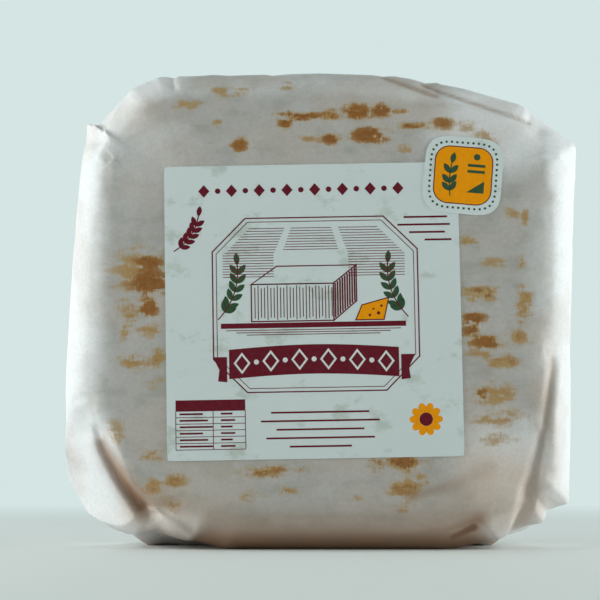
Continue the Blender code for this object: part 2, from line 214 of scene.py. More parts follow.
# Oil stains on the front: x, z, half width, half height, darkness
STAINS = (
    (-40.9, 180, 3.8, 2.6, 0.45), (-33.4, 179.5, 3.3, 1.8, 0.3), (-53.6, 174, 5.2, 2, 0.45),
    (-14.5, 182.3, 3.5, 2, 0.2), (-9.9, 169.7, 11, 1.7, 0.9), (-15, 166.7, 2.8, 1.8, 0.9),
    (2.3, 169.9, 4, 2.2, 0.8), (13.1, 171.3, 5.6, 3.6, 0.9), (22.6, 172, 4.5, 2.4, 0.9),
    (30.4, 171.9, 4.2, 1, 0.8), (3.2, 160.7, 4.6, 1.8, 0.9), (-6.6, 160.7, 4.3, 0.9, 0.5),
    (18.2, 162.3, 8.6, 3.2, 0.95), (35, 166.2, 8, 1.2, 0.8), (46.5, 167.1, 4.6, 2.7, 0.75),
    (56.4, 166, 3.6, 1.8, 0.3), (63.4, 161.1, 5.4, 3, 0.35), (-33.1, 158.4, 3.1, 3, 0.85),
    (-41.6, 166.5, 1.8, 1.5, 0.6), (32.1, 156.8, 3.3, 1.4, 0.3), (-72.6, 108.4, 11.5, 10, 0.5),
    (-68.2, 112, 6.2, 3.2, 0.9), (-67.8, 104, 8, 5, 1.0), (-74.8, 92.7, 5.4, 5, 0.5),
    (-68.4, 94.3, 4.2, 4, 0.9), (-77.7, 84.5, 2, 2.3, 0.5), (-68, 85.5, 6, 2.6, 0.4),
    (-73.9, 73.4, 6, 3.3, 0.55), (-64.6, 74.9, 2.9, 4, 0.5), (-65.9, 65.8, 4.3, 2.3, 0.25),
    (-80.7, 47.2, 3.6, 6, 0.15), (-66.1, 36.4, 5, 1.8, 0.45), (73.9, 131.4, 3.4, 3.2, 0.35),
    (78.6, 130, 1.4, 3.6, 0.5), (57.2, 120.4, 4.6, 2, 0.6), (66.1, 111.9, 5.4, 1.2, 0.45),
    (76.5, 112.7, 2.2, 2.6, 0.5), (60.5, 99.3, 8, 3.8, 0.75), (77.9, 96, 3.6, 7, 0.6),
    (58.3, 90.1, 4.6, 2.4, 0.95), (57.3, 85.4, 3.8, 1.6, 0.9), (63.5, 81, 7.8, 2.6, 0.9),
    (75.6, 82.5, 5.6, 3, 0.5), (62.5, 76.3, 8.6, 1.1, 0.5), (69.2, 72.6, 7, 2.6, 0.6),
    (65.8, 60.2, 10, 4.5, 0.55), (61.2, 60, 2.6, 2.6, 0.9), (66.4, 51.6, 11, 3.4, 0.45),
    (68, 42, 6.6, 2.8, 0.15), (-23.3, 31.2, 9.6, 2.4, 0.75), (-9.5, 31, 2.8, 1.5, 0.6),
    (-27.7, 21, 4.6, 2.2, 0.35), (-14, 22.3, 3.4, 2, 0.6), (-57.5, 26.9, 4.6, 2.1, 0.6),
    (-66.2, 24.8, 4.6, 2.7, 0.6), (-59.9, 17.7, 4.2, 3.2, 0.5), (29.5, 33.4, 10.5, 3.2, 0.85),
    (36.7, 28.8, 2.6, 1.7, 0.75), (31.5, 24.6, 7.5, 4.4, 0.65), (30.8, 17.5, 3.3, 2.8, 0.55),
    (12.9, 19.6, 1.6, 1.3, 0.3),
)


def ramp(value, low, high):
    """0 below low, 1 above high, and smooth between; low may be the larger one."""
    share = np.clip((value - low) / (high - low), 0, 1)
    return share * share * (3 - 2 * share)


def between(ends, share):
    """The value at a share of the way from the first of two numbers to the second."""
    return ends[0] + (ends[1] - ends[0]) * share


def corner_points(before, corner, after):
    """A rounded corner as a short curve between its two tangent points."""
    here = np.array(corner[:2], float)
    ends = [np.array(other[:2], float) - here for other in (before, after)]
    spans = [norm(end) for end in ends]
    cosine = np.clip(ends[0] @ ends[1] / (spans[0] * spans[1]), -1, 1)
    half_angle = math.acos(cosine) / 2
    reach = min(corner[2] / math.tan(half_angle), 0.48 * min(spans))
    start, end = (here + side / span * reach for side, span in zip(ends, spans))
    t = np.linspace(0, 1, CORNER_STEPS + 1)[:, None]
    return (1 - t) ** 2 * start + 2 * t * (1 - t) * here + t ** 2 * end


def outline_curve(sides):
    """The closed outline as points, their distance along it, and where each side starts."""
    corners = [corner for side in sides for corner in side]
    side_starts = np.cumsum([0] + [len(side) for side in sides[:-1]])
    points, middles = [], []
    for index, corner in enumerate(corners):
        arc = corner_points(corners[index - 1], corner, corners[(index + 1) % len(corners)])
        if index in side_starts:
            middles.append(len(points) + CORNER_STEPS // 2)
        points.extend(arc)
    points = np.array(points + points[:1])
    along = np.concatenate([[0], np.cumsum(norm(np.diff(points, axis=0), axis=1))])
    return points, along, along[middles]


def square_curve(half, corner):
    """The outline curve of a square with round corners."""
    corners = ((half, -half), (half, half), (-half, half), (-half, -half))
    return outline_curve([[(x, z, corner)] for x, z in corners])


def outline_at(curve, turn):
    """Points of an outline at turn, which runs from 0 to 4, one for each side."""
    points, along, starts = curve
    stops = np.append(starts, starts[0] + along[-1])
    place = np.interp(turn % 4, np.arange(5), stops) % along[-1]
    return np.stack([np.interp(place, along, points[:, axis]) for axis in (0, 1)], axis=-1)


def distance_to_line(points, line):
    """Signed distance of each point to a polyline, positive on its left, and the share along it."""
    line = np.array(line, float)
    lengths = norm(np.diff(line, axis=0), axis=1)
    passed = np.concatenate([[0], np.cumsum(lengths)])
    best = np.full(len(points), np.inf)
    share = np.zeros(len(points))
    side = np.ones(len(points))
    for index, length in enumerate(lengths):
        step = (line[index + 1] - line[index]) / length
        off = points - line[index]
        run = np.clip(off @ step, 0, length)
        apart = norm(off - run[:, None] * step, axis=1)
        nearer = apart < best
        best = np.where(nearer, apart, best)
        share = np.where(nearer, (passed[index] + run) / passed[-1], share)
        side = np.where(nearer, np.sign(step[0] * off[:, 1] - step[1] * off[:, 0]), side)
    return best * side, share


def way_round(a, c, edge):
    """How far round a square's border each point lies: 0 to 4, one for each side."""
    return np.select(
        [a >= edge, c >= edge, a <= -edge, c <= -edge],
        [(c + 1) / 2, 1 + (1 - a) / 2, 2 + (1 - c) / 2, 3 + (a + 1) / 2],
        0.0,
    )


def crown_share(seen):
    """The gentle dome of the two flat faces: 1 at their middle, 0 near the outline."""
    apart = norm(seen - np.array(PACK_MIDDLE), axis=1)
    return np.clip(1 - (apart / CROWN_RADIUS) ** 2, 0, 1)


def cube_to_pack(cube):
    """The pack's plain form: place, outward normal and turn of each point of a cube from -1 to 1."""
    across, back, up = cube.T
    reach = np.maximum(np.abs(across), np.abs(up))
    safe = np.where(reach > 0, reach, 1)
    a, c = across / safe, up / safe
    turn = way_round(a, c, 1)
    on_side = reach >= 1
    front = back < 0
    size = 100
    flat_share = (size - EDGE_RUN) / (size - EDGE_RUN + EDGE_RUN * math.pi / 4)
    face_angle = np.clip((reach - flat_share) / (1 - flat_share), 0, 1) * math.pi / 4
    side_share = 1 - EDGE_DEPTH * math.pi / 4 / (PACK_DEPTH / 2)
    side_angle = math.pi / 4 * (1 + np.clip((1 - np.abs(back)) / (1 - side_share), 0, 1))
    angle = np.where(on_side, side_angle, face_angle)
    inset = EDGE_RUN / size * (1 - np.sin(angle))
    scale = np.where(face_angle > 0, 1 - inset, (1 - EDGE_RUN / size) * reach / flat_share)
    scale = np.where(on_side, 1 - inset, scale)
    depth = PACK_DEPTH / 2 - EDGE_DEPTH * (1 - np.cos(angle))
    straight = np.abs(back) / side_share * (PACK_DEPTH / 2 - EDGE_DEPTH)
    depth = np.where(on_side & (np.abs(back) < side_share), straight, depth)
    side = np.where(front, -1, 1)
    share = ramp(side * depth, *OUTLINE_CHANGE)[:, None]
    ring = (1 - share) * outline_at(FRONT, turn) + share * outline_at(BACK, turn)
    middle = np.array(PACK_MIDDLE)
    outward = ring - middle
    outward_unit = outward / norm(outward, axis=1)[:, None]
    bulge = SIDE_BULGE * np.clip(1 - (depth / (PACK_DEPTH / 2)) ** 2, 0, 1) * np.sin(angle)
    seen = middle + outward * scale[:, None] + outward_unit * bulge[:, None]
    y = side * (depth + np.where(front, FRONT_CROWN, BACK_CROWN) * crown_share(seen))
    place = np.stack([seen[:, 0], y, seen[:, 1]], axis=1)
    normal = np.stack([outward_unit[:, 0] * np.sin(angle), side * np.cos(angle),
                       outward_unit[:, 1] * np.sin(angle)], axis=1)
    return place, normal, turn, scale


def fold_relief(place):
    """How far the named folds, laps and hollows move the front half of the paper outwards."""
    seen = place[:, [0, 2]]
    relief = np.zeros(len(place))
    for line, widths, depths in FOLDS:
        apart, share = distance_to_line(seen, line)
        width = between(widths, share)
        rounded = np.exp(-((apart / width) ** 2))
        pointed = np.exp(-np.abs(apart) / width * 1.4)
        relief -= between(depths, share) * (0.6 * rounded + 0.4 * pointed)
    for line, heights, reaches in LAPS:
        apart, share = distance_to_line(seen, line)
        fall = np.exp(-np.clip(apart, 0, None) / between(reaches, share))
        ends = ramp(share, 0, 0.12) * ramp(share, 1, 0.9)
        relief += between(heights, share) * ramp(apart, -0.4, 0.9) * fall * ends
    for x, z, radius, depth in DIMPLES:
        apart = norm(seen - np.array([x, z]), axis=1)
        relief -= depth * np.exp(-((apart / radius) ** 2))
    return relief * ramp(place[:, 1], *FOLD_FADE)


def pleat_relief(place, turn):
    """The folds of the gathered paper: waves along the sides, strongest at the corners."""
    seen = place[:, [0, 2]] - np.array(PACK_MIDDLE)
    from_middle = norm(seen, axis=1)
    side_length = FRONT[1][-1] / 4
    relief = np.zeros(len(place))
    for corner in range(4):
        lean = PLEAT_SLANT if corner % 2 else -PLEAT_SLANT
        along = ((turn - corner + 2) % 4 - 2) * side_length - lean * (place[:, 1] - PLEAT_START[0])
        wave = np.cos(math.pi * along / PLEAT_SPACING) ** 2
        relief += PLEAT_HEIGHT * wave * ramp(np.abs(along), PLEAT_REACH, PLEAT_REACH / 2)
    fade = ramp(place[:, 1], *PLEAT_START) * ramp(from_middle, *PLEAT_END)
    return relief * fade


def segment_distance(points, start, end):
    """Distance of each point to a straight line in space, and the share along it."""
    step = end - start
    share = np.clip((points - start) @ step / (step @ step), 0, 1)
    return norm(points - start - share[:, None] * step, axis=1), share


def crease_relief(place, normal):
    """Small folds pressed into the paper by hand, near its edges and corners, from a fixed seed."""
    draw = np.random.default_rng(SEED)
    relief = np.zeros(len(place))
    across = ramp(np.abs(place[:, 0]), *CREASED_ACROSS)
    upwards = ramp(np.abs(place[:, 2] - PACK_MIDDLE[1]), *CREASED_UPWARDS)
    creased = np.clip(across + upwards, 0, 1)
    candidates = np.flatnonzero(creased > 0.6)
    for _ in range(CREASES):
        middle = place[draw.choice(candidates)]
        outward = normal[np.argmin(norm(place - middle, axis=1))]
        heading = draw.normal(size=3) * (1, 1.6, 1)
        heading -= outward * (heading @ outward)
        heading /= norm(heading)
        half = draw.uniform(4, 15)
        bend = np.cross(outward, heading) * draw.uniform(-0.25, 0.25) * half
        height = draw.uniform(0.15, 0.55) * draw.choice((-1, 1))
        width = draw.uniform(1.2, 3.2)
        ends = (middle - heading * half, middle + bend, middle + heading * half)
        for index in range(2):
            apart, share = segment_distance(place, ends[index], ends[index + 1])
            along = (share + index) / 2
            profile = np.exp(-apart / width) * np.sin(np.pi * np.clip(along, 0.001, 0.999)) ** 0.7
            near = profile * height
            relief = np.where(np.abs(near) > np.abs(relief), near, relief)
    return relief * creased


def press_facet(place):
    """Draws the paper beyond the taut lower left triangle in onto its plane."""
    first, second, third = (np.array(point, float) for point in FACET_POINTS)
    normal = np.cross(second - first, third - first)
    normal /= norm(normal)
    over = np.clip((place - first) @ normal, 0, None)
    over *= ramp(place[:, 2], *FACET_TOP) * ramp(place[:, 1], 8, -4)
    return place - over[:, None] * normal


def to_frame(points):
    """Millimetres of the source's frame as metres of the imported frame, never under the ground."""
    moved = np.asarray(points, float) * MM + SHIFT
    moved[:, 2] = np.maximum(moved[:, 2], 0)
    return moved


def grid_quads(shape):
    """The quads of a grid whose points are counted row by row."""
    index = np.arange(shape[0] * shape[1]).reshape(shape)
    corners = (index[:-1, :-1], index[1:, :-1], index[1:, 1:], index[:-1, 1:])
    return np.stack(corners, axis=-1).reshape(-1, 4)


def cube_grid():
    """Points of a cube from -1 to 1 and its quads, cut finely near the cube's edges."""
    inner = np.linspace(0, OUTER_STARTS, INNER_CELLS + 1)
    outer = np.linspace(OUTER_STARTS, 1, OUTER_CELLS + 1)[1:]
    half = np.concatenate([inner, outer])
    edges = np.concatenate([-half[:0:-1], half])
    cuts = (edges, np.linspace(-1, 1, DEPTH_CELLS + 1), edges)
    points, quads = [], []
    count = 0
    for axis in range(3):
        first, second = (other for other in range(3) if other != axis)
        u, v = np.meshgrid(cuts[first], cuts[second], indexing="ij")
        for side in (-1, 1):
            face = np.empty(u.shape + (3,))
            face[..., first], face[..., second], face[..., axis] = u, v, side
            face_quads = grid_quads(u.shape) + count
            points.append(face.reshape(-1, 3))
            quads.append(face_quads if (axis == 1) == (side == -1) else face_quads[:, ::-1])
            count += u.size
    points, quads = np.concatenate(points), np.concatenate(quads)
    merged, place = np.unique(np.round(points, 9), axis=0, return_inverse=True)
    return merged, place.ravel()[quads]


def short_split(points, quads):
    """Triangles of the quads, each cut along its shorter diagonal."""
    one = norm(points[quads[:, 0]] - points[quads[:, 2]], axis=1)
    other = norm(points[quads[:, 1]] - points[quads[:, 3]], axis=1)
    first = one <= other
    a = np.where(first[:, None], quads[:, [0, 1, 2]], quads[:, [0, 1, 3]])
    b = np.where(first[:, None], quads[:, [0, 2, 3]], quads[:, [1, 2, 3]])
    return np.concatenate([a, b])


def add_object(name, data):
    obj = bpy.data.objects.new(name, data)
    bpy.context.scene.collection.objects.link(obj)
    return obj


def mesh_object(name, points, faces, material):
    """A smooth-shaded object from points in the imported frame."""
    data = bpy.data.meshes.new(name)
    data.from_pydata(np.asarray(points).tolist(), [], np.asarray(faces).tolist())
    data.update()
    data.shade_smooth()
    data.materials.append(material)
    return add_object(name, data)


def set_attribute(obj, name, values):
    layer = obj.data.attributes.new(name, "FLOAT", "POINT")
    layer.data.foreach_set("value", np.asarray(values, np.float32))


def hidden_stains(place):
    """Stains on the sides and the back, from a fixed seed: middle, half sizes and darkness."""
    draw = np.random.default_rng(SEED + 2)
    behind = place[place[:, 1] > HIDDEN_FROM]
    middles = behind[draw.integers(len(behind), size=HIDDEN_STAINS)]
    sizes = draw.uniform((4, 4, 1.8), (13, 13, 5), (HIDDEN_STAINS, 3))
    return list(zip(middles, sizes, draw.uniform(0.25, 0.8, HIDDEN_STAINS)))


def stain_envelopes(place, hidden):
    """How strongly each point lies in a dark stain and in a pale one."""
    front = ramp(place[:, 1], -24, -30)
    spots = []
    for x, z, half_width, half_height, darkness in STAINS:
        across = (place[:, 0] - x) / (half_width + STAIN_RIM)
        up = (place[:, 2] - z) / (half_height + STAIN_RIM)
        spots.append((np.hypot(across, up), front, darkness))
    for middle, sizes, darkness in hidden:
        spots.append((norm((place - middle) / sizes, axis=1), 1, darkness))
    dark = np.zeros(len(place))
    pale = np.zeros(len(place))
    for away, limit, darkness in spots:
        inside = np.clip(1.42 - 1.05 * away, 0, 1) * limit
        pale = np.maximum(pale, inside * min(1, 0.4 + 0.7 * darkness))
        dark = np.maximum(dark, inside * max(0, darkness * 1.6 - 0.6))
    return dark, pale


def spot_share(seen, spots):
    """How far each point lies in soft-edged spots."""
    share = np.zeros(len(seen))
    for x, z, half_width, half_height, amount in spots:
        away = np.hypot((seen[:, 0] - x) / half_width, (seen[:, 1] - z) / half_height)
        share = np.maximum(share, amount * ramp(away, 1.25, 0.2))
    return share


def loose_and_top_shade_share(place, scale, hidden):
    """Where the paper stands off the cheese and is white: at the edges, the corners and behind."""
    loose = np.maximum(0.9 * ramp(scale, 0.84, 0.95), ramp(place[:, 1], -38, -28))
    loose = np.maximum(loose, spot_share(place[:, [0, 2]], LOOSE_SPOTS))
    # Along the top of the front the white is held back: painted shade, as little light falls there
    top = ramp(place[:, 2], 176, 184) * ramp(np.abs(place[:, 0]), 70, 45)
    loose *= 1 - 0.6 * (top * ramp(place[:, 1], -20, -30))
    seen_corner = np.minimum(np.abs(place[:, 0]), np.abs(place[:, 2] - PACK_MIDDLE[1]))
    wall = ramp(np.abs(place[:, 1]), 26, 12) * ramp(seen_corner, 82, 55)
    loose *= 1 - 0.62 * wall
    for middle, sizes, darkness in hidden:
        apart = norm(place - middle, axis=1)
        loose = np.minimum(loose, 1 - darkness * 0.7 * np.exp(-((apart / (1.6 * sizes[0])) ** 2)))
    return loose


def soak_and_shade_share(place):
    """Where the paper is brown, partly oil-soaked and partly painted shade: low on the front, and in the
    deep folds.
    """
    seen = place[:, [0, 2]]
    front = ramp(place[:, 1], -8, -20)
    # Browner towards the bottom of the front: oil-soaked paper with painted shade and a painted warm
    # reflection
    reach = 6 + 16 * ramp(place[:, 0], -56, -44) * ramp(place[:, 0], 68, 54)
    shade = ramp(place[:, 2], reach, reach / 8) * ramp(place[:, 1], 20, -20)
    for line, widths, amounts in SOAK_AND_SHADE_LINES:
        apart, share = distance_to_line(seen, line)
        strength = between(amounts, share) * np.exp(-((apart / between(widths, share)) ** 2))
        shade = np.maximum(shade, strength * front)
    return shade


def mark_paper(obj, place, scale, hidden):
    """Writes where a sheet of paper is loose, stained and in shade."""
    dark, pale = stain_envelopes(place, hidden)
    set_attribute(obj, "loose", loose_and_top_shade_share(place, scale, hidden))
    set_attribute(obj, "stain_dark", dark)
    set_attribute(obj, "stain_pale", pale)
    set_attribute(obj, "shade", soak_and_shade_share(place))
    # A warmer tone on the front: partly oil, partly painted warm reflection
    warm = spot_share(place[:, [0, 2]], WARM_OIL_AND_REFLECTION_SPOTS)
    set_attribute(obj, "warm", warm * ramp(place[:, 1], -12, -24))


def new_material(name, roughness):
    material = bpy.data.materials.new(name)
    material.use_nodes = True
    shader = material.node_tree.nodes["Principled BSDF"]
    shader.inputs["Roughness"].default_value = roughness
    shader.inputs["Specular IOR Level"].default_value = 0.35
    return material, material.node_tree, shader


def add_node(tree, kind, inputs, **settings):
    """A shader node with its settings; each input is a value or another node's socket."""
    made = tree.nodes.new("ShaderNode" + kind)
    for key, value in settings.items():
        setattr(made, key, value)
    for key, value in inputs.items():
        if isinstance(value, bpy.types.NodeSocket):
            tree.links.new(value, made.inputs[key])
        else:
            made.inputs[key].default_value = value
    return made


def coordinates(tree, stretch=(1, 1, 1)):
    """The object's own coordinates in millimetres, stretched along the axes."""
    source = add_node(tree, "TexCoord", {})
    scale = tuple(1 / MM / share for share in stretch)
    return add_node(tree, "Mapping", {"Vector": source.outputs["Object"], "Scale": scale}).outputs[0]


def noise(tree, size, stretch=(1, 1, 1), detail=3, roughness=0.55):
    """Noise whose features are about size millimetres across."""
    inputs = {"Vector": coordinates(tree, stretch), "Scale": 1 / size, "Detail": detail,
              "Roughness": roughness}
    return add_node(tree, "TexNoise", inputs).outputs["Fac"]


def remap(tree, value, low, high, to_low=0.0, to_high=1.0):
    inputs = {"Value": value, "From Min": low, "From Max": high, "To Min": to_low, "To Max": to_high}
    return add_node(tree, "MapRange", inputs, interpolation_type="SMOOTHSTEP").outputs[0]


def calculate(tree, operation, first, second):
    return add_node(tree, "Math", {0: first, 1: second}, operation=operation).outputs[0]


def multiply(tree, first, second):
    return calculate(tree, "MULTIPLY", first, second)


def blend(tree, factor, first, second, mode="MIX"):
    """A mix of two colours, each a socket or three numbers."""
    inputs = {0: factor}
    for key, value in ((6, first), (7, second)):
        inputs[key] = value if isinstance(value, bpy.types.NodeSocket) else (*value, 1)
    return add_node(tree, "Mix", inputs, data_type="RGBA", blend_type=mode).outputs[2]


def attribute(tree, name):
    return add_node(tree, "Attribute", {}, attribute_name=name).outputs["Fac"]


def bump(tree, shader, heights):
    """Chains bump nodes: each height is a socket with the distance in millimetres it stands for."""
    normal = None
    for height, distance in heights:
        inputs = {"Height": height, "Distance": distance * MM, "Strength": 1.0}
        if normal is not None:
            inputs["Normal"] = normal
        normal = add_node(tree, "Bump", inputs).outputs[0]
    tree.links.new(normal, shader.inputs["Normal"])


# Each ink's colour and the one that clouds it
INK_COLOURS = {
    "maroon": ((0.14, 0.008, 0.018), (0.18, 0.02, 0.035)),
    "orange": ((1.0, 0.36, 0.002), (0.92, 0.30, 0.002)),
    "green": ((0.035, 0.085, 0.04), (0.06, 0.12, 0.06)),
    "pale": ((0.80, 0.80, 0.79), (0.72, 0.70, 0.69)),
}
LABEL_WHITE = (0.73, 0.78, 0.78)
LABEL_GREY = (0.63, 0.68, 0.67)
LABEL_SMUDGE = (0.42, 0.46, 0.38)
PAPER_LOOSE = (0.83, 0.815, 0.825)
PAPER_PRESSED = (0.51, 0.47, 0.445)
PAPER_OILY = (0.43, 0.405, 0.37)
PAPER_WARM = (0.62, 0.50, 0.43)
STAIN_TAN = (0.46, 0.28, 0.095)
STAIN_OCHRE = (0.43, 0.23, 0.055)
STAIN_BROWN = (0.26, 0.085, 0.010)
STAIN_RUST = (0.30, 0.105, 0.014)
# Browns of oil-soaked paper, also used as painted shade and painted warm reflection
SOAK_AND_SHADE_BROWN = (0.36, 0.225, 0.145)
SOAK_AND_SHADE_DEEP = (0.21, 0.115, 0.07)
# The warm tone of oil, also used as painted warm reflection
WARM_OIL_AND_REFLECTION_TONE = (1.0, 0.86, 0.75)

# The noise that tears the stains' edges: its size, its stretch and its share
RAGGED_EDGES = ((3.4, (2.2, 1, 1), 0.62), (1.1, (0.8, 1, 2.4), 0.20), (0.9, (1, 1, 1), 0.10))
STAIN_LAYERS = (("stain_pale", STAIN_TAN, STAIN_OCHRE, 0.88),
                ("stain_dark", STAIN_BROWN, STAIN_RUST, 0.97))


def paper_material():
    """Greaseproof paper: white where loose, grey where pressed, with ragged oil stains and painted shade
    and reflection.
    """
    material, tree, shader = new_material("greaseproof_paper", 0.55)
    cloud = noise(tree, 16, detail=4)
    fibre = noise(tree, 1.3, detail=3, roughness=0.7)
    bands = noise(tree, 4, (3.2, 1, 1), 3)
    loose = attribute(tree, "loose")
    patchy = calculate(tree, "ADD", loose, remap(tree, cloud, 0.35, 0.65, -0.10, 0.16))
    patches = remap(tree, noise(tree, 7, (1.6, 1, 1)), 0.42, 0.62)
    oily = multiply(tree, patches, remap(tree, bands, 0.4, 0.6, 0.4, 1.0))
    pressed = blend(tree, oily, PAPER_PRESSED, PAPER_OILY)
    paper = blend(tree, remap(tree, patchy, 0.0, 1.0), pressed, PAPER_LOOSE)
    warm = remap(tree, noise(tree, 26, (1.3, 1, 1), 2), 0.45, 0.65, 0.0, 0.3)
    paper = blend(tree, warm, paper, PAPER_WARM)
    # Warmer where the warm spots lie: partly oil, partly painted warm reflection
    paper = blend(tree, attribute(tree, "warm"), paper, WARM_OIL_AND_REFLECTION_TONE, "MULTIPLY")
    speck = remap(tree, fibre, 0.3, 0.7, 0.95, 1.04)
    grey = add_node(tree, "CombineColor", {0: speck, 1: speck, 2: speck}).outputs[0]
    paper = blend(tree, 1.0, paper, grey, "MULTIPLY")

    # The stains' edges: level streaks, short upright teeth and grain
    ragged = 0.5
    for size, stretch, share in RAGGED_EDGES:
        part = calculate(tree, "SUBTRACT", noise(tree, size, stretch, 2), 0.5)
        ragged = calculate(tree, "ADD", ragged, multiply(tree, part, share * 3.4))
    stained = attribute(tree, "stain_pale")
    halo = remap(tree, calculate(tree, "SUBTRACT", stained, ragged), -0.4, 0.1, 0.0, 0.4)
    paper = blend(tree, multiply(tree, halo, remap(tree, stained, 0.0, 0.3)), paper, STAIN_TAN)
    tint = remap(tree, noise(tree, 6, (1.6, 1, 1), 2), 0.4, 0.6)
    depth = remap(tree, noise(tree, 1.2, (1.5, 1, 1), 2), 0.35, 0.65, 0.84, 1.0)
    for name, first, second, strength in STAIN_LAYERS:
        stained = attribute(tree, name)
        level = calculate(tree, "SUBTRACT", stained, ragged)
        mask = multiply(tree, remap(tree, level, -0.05, 0.2, 0.0, strength), depth)
        mask = multiply(tree, mask, remap(tree, stained, 0.03, 0.15))
        mask = multiply(tree, mask, remap(tree, stained, 0.3, 0.8, 0.45, 1.0))
        paper = blend(tree, mask, paper, blend(tree, tint, first, second))
    # Oil-soaked brown mixed with painted shade and painted warm reflection, darkest in the deepest folds
    shade = attribute(tree, "shade")
    brown = blend(tree, remap(tree, shade, 0.8, 1.2), SOAK_AND_SHADE_BROWN, SOAK_AND_SHADE_DEEP)
    paper = blend(tree, shade, paper, brown)
    tree.links.new(paper, shader.inputs["Base Color"])
    bump(tree, shader, ((noise(tree, 9, detail=2), 0.35), (fibre, 0.05)))
    return material


def make_wrap(material):
    """The greaseproof paper all round the cheese."""
    cube, quads = cube_grid()
    place, normal, turn, scale = cube_to_pack(cube)
    place = press_facet(place)
    relief = fold_relief(place) + pleat_relief(place, turn) + crease_relief(place, normal)
    place = place + normal * relief[:, None]
    obj = mesh_object("paper_wrap", to_frame(place), short_split(place, quads), material)
    hidden = hidden_stains(place)
    mark_paper(obj, place, scale, hidden)
    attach(obj, "root")
    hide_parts("wrapped_cheese")
    return obj, hidden


def surface_tree(obj):
    points = [vert.co[:] for vert in obj.data.vertices]
    return BVHTree.FromPolygons(points, [face.vertices[:] for face in obj.data.polygons])


def back_heights(trees, x, z):
    """The outermost surface behind each place, in millimetres."""
    heights = np.full(x.shape, -np.inf)
    for place in np.ndindex(x.shape):
        origin = Vector((x[place] * MM + SHIFT[0], 0.2, z[place] * MM + SHIFT[2]))
        for tree in trees:
            hit = tree.ray_cast(origin, Vector((0, -1, 0)))[0]
            if hit is not None:
                heights[place] = max(heights[place], (hit.y - SHIFT[1]) / MM)
    return heights


def make_flaps(wrap, hidden, material):
    """The paper's four ends, folded over one another on the back."""
    draw = np.random.default_rng(SEED + 1)
    trees = [surface_tree(wrap)]
    for name, (base_low, tip_low, tip_high, base_high), stand in BACK_FLAPS:
        along, across = FLAP_CELLS
        s, t = np.meshgrid(np.linspace(0, 1, along + 1), np.linspace(-1, 1, across + 1), indexing="ij")
        bow = (1 - t ** 2) * 0.02 * s + 0.012 * np.sin(5 * t + stand * 3) * s
        low, high = (between((np.array(base, float), np.array(tip, float)), (s + bow)[..., None])
                     for base, tip in ((base_low, tip_low), (base_high, tip_high)))
        seen = low + (high - low) * ((t + 1) / 2)[..., None]
        floor = back_heights(trees, seen[..., 0], seen[..., 1]) + FLAP_GAP
        height = floor.copy()
        for _ in range(FLAP_ROUNDS):
            padded = np.pad(height, 1, mode="edge")
            around = (padded[2:, 1:-1] + padded[:-2, 1:-1] + padded[1:-1, 2:] + padded[1:-1, :-2]) / 4
            height = np.maximum(floor, around)
        height = floor + (height - floor) * ramp(s, 0.0, 0.22)
        edge = np.minimum((1 - s) * FLAP_LENGTH, (1 - np.abs(t)) * FLAP_HALF_WIDTH)
        lift = stand * np.exp(-edge / 6) * (0.45 + 0.55 * np.sin(7 * t + 9 * s + stand * 5))
        for _ in range(FLAP_CREASES):
            place = np.array([draw.uniform(0.1, 0.95), draw.uniform(-0.9, 0.9)])
            heading = draw.uniform(-1.2, 1.2)
            right, up = t - place[1], (s - place[0]) * 2
            across_it = (right * math.cos(heading) - up * math.sin(heading)) * FLAP_HALF_WIDTH
            along_it = (right * math.sin(heading) + up * math.cos(heading)) * FLAP_HALF_WIDTH
            ends = ramp(np.abs(along_it), draw.uniform(8, 45), 0)
            lift += draw.uniform(0.08, 0.4) * np.exp(-np.abs(across_it) / 1.5) * ends
        height += np.clip(lift, 0, None) * ramp(s, 0.1, 0.35)
        height -= FLAP_SUNK * ramp(s, 0.05, 0.0)
        points = np.stack([seen[..., 0], height, seen[..., 1]], axis=-1).reshape(-1, 3)
        faces = short_split(points, grid_quads(s.shape))
        obj = mesh_object(name, to_frame(points), faces, material)
        if obj.data.polygons[0].normal.y < 0:
            obj.data.flip_normals()
        trees.append(surface_tree(obj))
        mark_paper(obj, points, np.ones(len(points)), hidden)
        add_thickness(obj, PAPER_THICKNESS)
        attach(obj, "root")


def turned(points, degrees):
    """Points in the plane of the face, turned about the origin."""
    angle = math.radians(degrees)
    turn = np.array([[math.cos(angle), math.sin(angle)], [-math.sin(angle), math.cos(angle)]])
    return points @ turn


def front_surface(seen):
    """How far forward the front face lies at each place."""
    return -(PACK_DEPTH / 2 + FRONT_CROWN * crown_share(seen))


def label_lift(seen):
    return np.full(len(seen), LABEL_BACK)


def seal_lift(seen):
    """The seal lies on the label's corner and comes down to the paper beside it."""
    local = turned(seen - np.array(LABEL_MIDDLE), -LABEL_TURN)
    outside = np.abs(local).max(axis=1) - LABEL_SIZE / 2
    return LABEL_BACK + (SHEET_THICKNESS + 0.05) * ramp(outside, STEP_RAMP[1], STEP_RAMP[0])


def lay_on_face(local, middle, turn, lift, stand=0.0):
    """Points of a sheet's own plane, turned and laid on the front face, stand above the sheet."""
    seen = turned(local, turn) + np.array(middle)
    forward = front_surface(seen) - lift(seen) - SHEET_THICKNESS - stand
    return np.column_stack([seen[:, 0], forward, seen[:, 1]])


def add_thickness(obj, thickness):
    """Makes a sheet into a solid, with its rim's edges left hard."""
    solid = obj.modifiers.new("Thickness", "SOLIDIFY")
    solid.thickness = thickness * MM
    solid.offset = -1
    thickened = obj.evaluated_get(bpy.context.evaluated_depsgraph_get())
    obj.data = bpy.data.meshes.new_from_object(thickened)
    obj.modifiers.clear()
    obj.data.set_sharp_from_angle(angle=math.radians(RIM_ANGLE))


